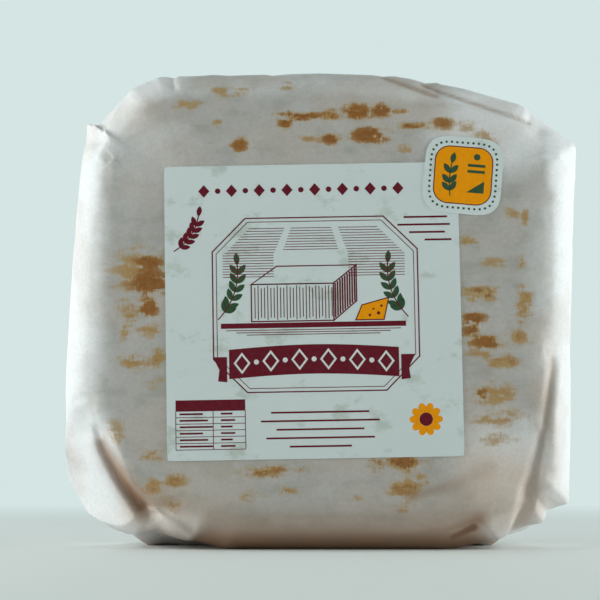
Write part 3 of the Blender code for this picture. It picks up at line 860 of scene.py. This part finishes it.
def make_sheet(name, node, size, middle, turn, corner, lift, cells, material):
    """A thin sheet stuck on the front face, with rounded corners."""
    curve = square_curve(size / 2, corner)
    u, v = np.meshgrid(np.linspace(-1, 1, cells + 1), np.linspace(-1, 1, cells + 1), indexing="ij")
    grid = np.stack([u.ravel(), v.ravel()], axis=1)
    reach = np.abs(grid).max(axis=1)
    a, c = (grid / np.where(reach > 1e-6, reach, 1)[:, None]).T
    local = outline_at(curve, way_round(a, c, 1 - 1e-5)) * reach[:, None]
    points = lay_on_face(local, middle, turn, lift)
    obj = mesh_object(name, to_frame(points), short_split(points, grid_quads(u.shape)), material)
    add_thickness(obj, SHEET_THICKNESS)
    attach(obj, "root")
    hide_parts(node)


def label_material():
    material, tree, shader = new_material("label_paper", 0.5)
    smudge = remap(tree, noise(tree, 9, (1.5, 1, 1), 5, 0.6), 0.55, 0.68, 0.0, 0.5)
    cloud = remap(tree, noise(tree, 22), 0.35, 0.65, 0.0, 0.12)
    white = blend(tree, cloud, LABEL_WHITE, LABEL_GREY)
    white = blend(tree, smudge, white, LABEL_SMUDGE)
    tree.links.new(white, shader.inputs["Base Color"])
    bump(tree, shader, ((noise(tree, 14, detail=2), 0.12), (noise(tree, 1.0), 0.015)))
    return material


def ink_material(name, colour, other):
    """Printed ink, a little uneven."""
    material, tree, shader = new_material(name, 0.42)
    shader.inputs["Specular IOR Level"].default_value = 0.12
    uneven = remap(tree, noise(tree, 1.6), 0.3, 0.7, 0.0, 0.5)
    tree.links.new(blend(tree, uneven, colour, other), shader.inputs["Base Color"])
    bump(tree, shader, ((noise(tree, 0.8), 0.01),))
    return material


def ellipse(centre, radii, start=0.0, sweep=360.0, count=24, turn=0.0):
    """Points of an ellipse or of a part of it; a full one doesn't repeat its first point."""
    full = abs(sweep) >= 360
    angles = np.radians(start + np.linspace(0, sweep, count, endpoint=not full))
    points = np.stack([radii[0] * np.cos(angles), radii[1] * np.sin(angles)], axis=1)
    return turned(points, turn) + np.array(centre)


def stroke(points, width, closed=False):
    """A line of even width as a row of four-cornered pieces with mitred joints."""
    points = np.asarray(points, float)
    steps = np.diff(points, axis=0, append=points[:1])
    steps /= norm(steps, axis=1)[:, None]
    before = np.roll(steps, 1, axis=0)
    if not closed:
        steps[-1] = before[-1]
        before[0] = steps[0]
    mid = steps + before
    mid /= norm(mid, axis=1)[:, None]
    reach = width / 2 / np.clip((mid * steps).sum(axis=1), 0.4, 1)
    out = np.stack([-mid[:, 1], mid[:, 0]], axis=1) * reach[:, None]
    left, right = points + out, points - out
    count = len(points) if closed else len(points) - 1
    ends = [(index + 1) % len(points) for index in range(count)]
    return [np.array([right[a], right[b], left[b], left[a]]) for a, b in zip(range(count), ends)]


def bar(left, right, height, thickness):
    """A level bar between two places across."""
    low, high = height - thickness / 2, height + thickness / 2
    return np.array([(left, low), (right, low), (right, high), (left, high)], float)


def lozenge(centre, width, height):
    u, v = centre
    return np.array([(u - width / 2, v), (u, v - height / 2), (u + width / 2, v), (u, v + height / 2)])


def rounded_square(size, corner):
    """A square with round corners about the origin."""
    reach = size / 2 - corner
    corners = ((reach, reach, 0), (-reach, reach, 90), (-reach, -reach, 180), (reach, -reach, 270))
    arcs = [ellipse((u, v), (corner, corner), start, 90, 8) for u, v, start in corners]
    return np.concatenate(arcs)


def cut_corner_frame(half_width, half_height, cut):
    """A rectangle with its corners cut off, about the origin."""
    w, h = half_width, half_height
    return np.array([(w, cut - h), (w, h - cut), (w - cut, h), (cut - w, h), (-w, h - cut), (-w, cut - h),
                     (cut - w, -h), (w - cut, -h)], float)


def sprig(base, tip, bend, leaves, leaf_length, leaf_width):
    """A curved stem with pairs of pointed leaves; the stem and the leaves come back apart."""
    base, tip = np.array(base, float), np.array(tip, float)
    across = np.array([-(tip - base)[1], (tip - base)[0]])
    t = np.linspace(0, 1, 15)[:, None]
    stem = base * (1 - t) + tip * t + across * bend * 4 * t * (1 - t)
    s = np.linspace(0, 1, 7)
    half = leaf_width / 2 * np.sin(np.pi * s) ** 0.8
    low, high = (np.stack([s * leaf_length, edge], 1) for edge in (-half, half))
    leaf = np.concatenate([low, high[-2:0:-1]])
    blades = []
    for place in np.linspace(0.16, 1, leaves):
        index = int(place * (len(stem) - 2))
        root = stem[index]
        heading = math.degrees(math.atan2(*(stem[index + 1] - stem[index])[::-1]))
        for side in (-38, 38) if place < 1 else (0,):
            blades.append(turned(leaf, heading + side) + root)
    return stroke(stem, 0.45), blades


def make_ink(name, shapes, material, middle, turn, lift, layer, cut_spacing):
    """Print on a sheet: flat shapes laid on its curved face as very thin solids."""
    mesh = bmesh.new()
    for shape in shapes:
        area = np.sum(shape[:, 0] * np.roll(shape[:, 1], -1) - shape[:, 1] * np.roll(shape[:, 0], -1))
        corners = shape if area > 0 else shape[::-1]
        mesh.faces.new([mesh.verts.new((u, 0, v)) for u, v in corners])
    bmesh.ops.remove_doubles(mesh, verts=mesh.verts, dist=1e-4)
    reach = max(np.abs(shape).max() for shape in shapes)
    for axis in (0, 2):
        direction = [float(other == axis) for other in range(3)]
        for cut in np.arange(-reach, reach, cut_spacing) + cut_spacing / 2:
            parts = mesh.verts[:] + mesh.edges[:] + mesh.faces[:]
            middle_of_cut = [float(cut) * share for share in direction]
            bmesh.ops.bisect_plane(mesh, geom=parts, dist=1e-5, plane_co=middle_of_cut, plane_no=direction)
    bmesh.ops.triangulate(mesh, faces=mesh.faces)
    local = np.array([(vert.co.x, vert.co.z) for vert in mesh.verts])
    points = lay_on_face(local, middle, turn, lift, layer * INK_THICKNESS)
    for vert, place in zip(mesh.verts, to_frame(points)):
        vert.co = place
    data = bpy.data.meshes.new(name)
    mesh.to_mesh(data)
    mesh.free()
    data.materials.append(material)
    obj = add_object(name, data)
    add_thickness(obj, INK_THICKNESS * 0.9)
    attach(obj, "root")


def label_print():
    """The label's plain design: maroon, orange and green shapes and the pale marks on the maroon ones."""
    maroon, orange, green, pale = [], [], [], []
    # A row of ornaments along the top
    for index, u in enumerate(np.linspace(-42, 34, 15)):
        dot = ellipse((u, 47.5), (1.1, 1.1), count=12)
        maroon.append(dot if index % 2 else lozenge((u, 47.5), 4.4, 5.0))
    # The frame with its cut corners
    middle = np.array((1.0, 2.5))
    for inset, width in ((0, 0.5), (1.5, 0.28)):
        frame_line = cut_corner_frame(40 - inset, 34 - inset, 13 - inset * 0.4) + middle
        maroon.extend(stroke(frame_line, width, closed=True))
    # Inside it: fine level lines behind, a slab with a cut wedge on a thick bar, and two sprigs
    for v in np.arange(13.5, 33, 1.05):
        half = 36 - max(0, v - 22)
        for left, right in ((-half, -0.42 * half), (-0.36 * half, 0.30 * half), (0.36 * half, half)):
            if v > 24 or abs(left + right) > 8:
                maroon.append(bar(left + 1, right, v, 0.26))
    slab = np.array([(-24, -4), (8, -4), (8, 10.5), (-24, 10.5)], float)
    top = np.array([(-24, 10.5), (8, 10.5), (17, 17.5), (-14, 17.5)], float)
    side = np.array([(8, -4), (17, 3.5), (17, 17.5), (8, 10.5)], float)
    for face in (slab, top, side):
        maroon.extend(stroke(face, 0.5, closed=True))
    for u in np.arange(-22.6, 7.5, 1.25):
        maroon.append(bar(u - 0.17, u + 0.17, 3.25, 13.4 - 2.2 * math.cos(u * 1.7) ** 2))
    for share in np.linspace(0.08, 0.92, 9):
        low = side[0] + (side[1] - side[0]) * share
        high = side[3] + (side[2] - side[3]) * share
        maroon.extend(stroke(np.array([low + (0, 0.5), high - (0, 0.5)]), 0.62))
    wedge = np.array([(16.5, -4), (27.5, -4), (29.5, 4.6), (19, 1.8)])
    orange.extend([wedge[[0, 1, 2]], wedge[[0, 2, 3]]])
    maroon.extend(stroke(wedge, 0.45, closed=True))
    for u, v, radius in ((22, -2.2, 0.55), (25.4, -1.4, 0.7), (26.6, 1.4, 0.5), (23.4, 0.2, 0.4)):
        maroon.append(ellipse((u, v), (radius, radius), count=10))
    maroon.append(bar(-36, 36, -5.6, 2.0))
    for index, v in enumerate((-7.4, -8.3, -9.2)):
        maroon.append(bar(index * 4 - 34, 34 - index * 4, v, 0.3))
    for mirror in (1, -1):
        stem, leaves = sprig((mirror * 37, -3), (mirror * 29.5, 20), 0.12 * mirror, 7, 5.0, 2.3)
        green.extend(leaves)
        maroon.extend(stem)
    # The ribbon under it, with pale marks
    u = np.linspace(-33, 33, 23)
    lift = 1.6 * np.cos(u / 33 * math.pi / 2)
    low, high = (np.stack([u, edge + lift], 1) for edge in (-26.2, -14.8))
    maroon.extend(np.array([low[i], low[i + 1], high[i + 1], high[i]]) for i in range(len(u) - 1))
    for mirror in (1, -1):
        tail = np.array([(33.8, -17.6), (39.3, -17.6), (36.8, -22.6), (37.4, -27.0), (33.8, -27.4)])
        maroon.append((tail * (mirror, 1))[::mirror])
    for index, place in enumerate(np.linspace(-28, 28, 11)):
        height = -20.5 + 1.6 * math.cos(place / 33 * math.pi / 2)
        if index % 2 == 0:
            pale.extend(stroke(lozenge((place, height), 5.6, 7.2), 0.75, closed=True))
        else:
            pale.append(ellipse((place, height), (1.0, 1.0), count=12))
    # A rosette low on the right, rules beside and under the frame, and a ruled grid low on the left
    for index in range(10):
        petal = turned(np.array([(4.4, 0.0)]), index * 36)[0] + (43, -43)
        orange.append(ellipse(petal, (2.1, 1.5), turn=index * 36, count=12))
    maroon.append(ellipse((43, -43), (2.6, 2.6)))
    for v, left, right in ((36, 36, 53), (33, 33.5, 54), (30, 38, 52), (27, 44, 54.5)):
        maroon.append(bar(left, right, v, 0.75))
    for v, half in ((-39.5, 19), (-42.8, 23), (-46.1, 17), (-49.4, 21), (-52.7, 12)):
        maroon.append(bar(2 - half, 2 + half, v, 0.7))
    maroon.append(bar(-54, -27, -36.2, 4.2))
    for row in range(7):
        maroon.append(bar(-54, -27, -38.3 - 2.5 * row, 0.26))
        if row < 6:
            maroon.append(bar(-52.5, -43.5 + 2 * (row % 3), -39.5 - 2.5 * row, 0.7))
            maroon.append(bar(-36.5, -32 + (row % 2), -39.5 - 2.5 * row, 0.7))
    for u in (-54, -39.5, -27):
        maroon.extend(stroke(np.array([(u, -38.3), (u, -53.3)]), 0.26))
    stem, leaves = sprig((-54, 24), (-44, 39), -0.12, 6, 4.2, 2.0)
    maroon.extend(stem + leaves)
    return maroon, orange, green, pale


def seal_print():
    """The seal's design: an orange field, its rim, green shapes and a ring of marks in the white border."""
    field = [rounded_square(22.4, 5.6)]
    rim = stroke(rounded_square(22.6, 5.7), 0.4, closed=True)
    stem, leaves = sprig((-4.6, -8.4), (-4.6, 5.4), 0.05, 4, 4.6, 2.2)
    green = stem + leaves
    green.append(np.array([(1.6, -6.6), (8.4, -6.6), (8.4, -1.8)], float))
    for v in (1.8, 4.2):
        green.append(bar(1.6, 8.4, v, 1.1))
    green.append(ellipse((5.0, 7.6), (1.3, 1.3), count=14))
    ring = square_curve(13, 7.2)
    marks = [ellipse(place, (0.5, 0.5), count=8) for place in outline_at(ring, np.arange(0, 4, 4 / 44))]
    return field, rim, green, marks


def add_camera():
    """A camera at the photograph's place: level with the lower part of the pack, looking a little up."""
    data = bpy.data.cameras.new("camera")
    data.sensor_width = 36
    data.sensor_fit = "HORIZONTAL"
    data.lens = CAMERA_LENS
    obj = add_object("camera", data)
    obj.location = Vector(CAMERA_PLACE) * MM + Vector(SHIFT)
    obj.rotation_euler = (math.radians(CAMERA_TILT), 0, 0)
    bpy.context.scene.camera = obj


def add_area_light(name, place, power):
    """A soft box that faces the middle of the pack."""
    data = bpy.data.lights.new(name, "AREA")
    data.shape = "RECTANGLE"
    data.size, data.size_y = LIGHT_SIZE
    data.energy = power
    data.color = LIGHT_COLOUR
    obj = add_object(name, data)
    obj.location = place
    towards = Vector(LIGHT_TARGET) - Vector(place)
    obj.rotation_euler = towards.to_track_quat("-Z", "Z").to_euler()


def add_world():
    """A pale surround: the backdrop behind the pack, dimmer in front of it and overhead."""
    world = bpy.data.worlds.new("studio")
    world.use_nodes = True
    tree = world.node_tree
    source = add_node(tree, "TexCoord", {})
    direction = add_node(tree, "SeparateXYZ", {0: source.outputs["Generated"]})
    behind = remap(tree, direction.outputs["Y"], -0.7, 0.25)
    low = remap(tree, direction.outputs["Z"], 0.75, 0.35)
    colour = blend(tree, multiply(tree, behind, low), DIM, BACKDROP)
    tree.links.new(colour, tree.nodes["Background"].inputs["Color"])
    bpy.context.scene.world = world


def add_floor():
    """A wide pale disc that melts into the backdrop away from the pack."""
    mesh = bmesh.new()
    bmesh.ops.create_circle(mesh, cap_ends=True, segments=96, radius=FLOOR_RADIUS)
    data = bpy.data.meshes.new("studio_floor")
    mesh.to_mesh(data)
    mesh.free()
    material, tree, shader = new_material("studio_floor", 0.7)
    shader.inputs["Base Color"].default_value = (*FLOOR_COLOUR, 1)
    shader.inputs["Specular IOR Level"].default_value = 0.2
    place = add_node(tree, "TexCoord", {}).outputs["Object"]
    away = add_node(tree, "VectorMath", {0: place}, operation="LENGTH").outputs["Value"]
    far = remap(tree, away, *FLOOR_FADE)
    glow = add_node(tree, "Emission", {"Color": (*BACKDROP, 1), "Strength": 1.0})
    mix = add_node(tree, "MixShader", {0: far, 1: shader.outputs[0], 2: glow.outputs[0]})
    tree.links.new(mix.outputs[0], tree.nodes["Material Output"].inputs["Surface"])
    data.materials.append(material)
    floor = add_object("studio_floor", data)
    floor.location.y = FLOOR_MIDDLE


def packed_shift():
    """How the pack moved from its source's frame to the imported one, in metres."""
    low, high = (np.array(corner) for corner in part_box("label"))
    middle = (low + high) / 2
    front = -(PACK_DEPTH / 2 + FRONT_CROWN + 2 * SHEET_THICKNESS) * MM
    return np.array([middle[0] - LABEL_MIDDLE[0] * MM, low[1] - front, middle[2] - LABEL_MIDDLE[1] * MM])


FRONT = outline_curve((FRONT_RIGHT, FRONT_TOP, FRONT_LEFT, FRONT_BOTTOM))
BACK = outline_curve(BACK_OUTLINE)
SHIFT = packed_shift()

bpy.context.scene.view_settings.view_transform = "Standard"
add_camera()
add_world()
add_floor()
for name, place, power in LIGHTS:
    add_area_light(name, place, power)
paper = paper_material()
wrap, hidden = make_wrap(paper)
make_flaps(wrap, hidden, paper)
label_paper = label_material()
inks = {name: ink_material(name + "_ink", *colours) for name, colours in INK_COLOURS.items()}
make_sheet("label_sheet", "label", LABEL_SIZE, LABEL_MIDDLE, LABEL_TURN, LABEL_CORNER,
           label_lift, 40, label_paper)
layers = (("maroon", 1), ("orange", 0.8), ("green", 0.9), ("pale", 2))
for shapes, (name, layer) in zip(label_print(), layers):
    make_ink("label_print_" + name, shapes, inks[name], LABEL_MIDDLE, LABEL_TURN,
             label_lift, layer, 9)
make_sheet("seal_sheet", "seal_sticker", SEAL_SIZE, SEAL_MIDDLE, SEAL_TURN, SEAL_CORNER,
           seal_lift, 32, label_paper)
layers = (("field", "orange", 1), ("rim", "maroon", 1.2), ("green", "green", 2), ("marks", "green", 1))
for shapes, (name, ink, layer) in zip(seal_print(), layers):
    make_ink("seal_print_" + name, shapes, inks[ink], SEAL_MIDDLE, SEAL_TURN,
             seal_lift, layer, 0.9)
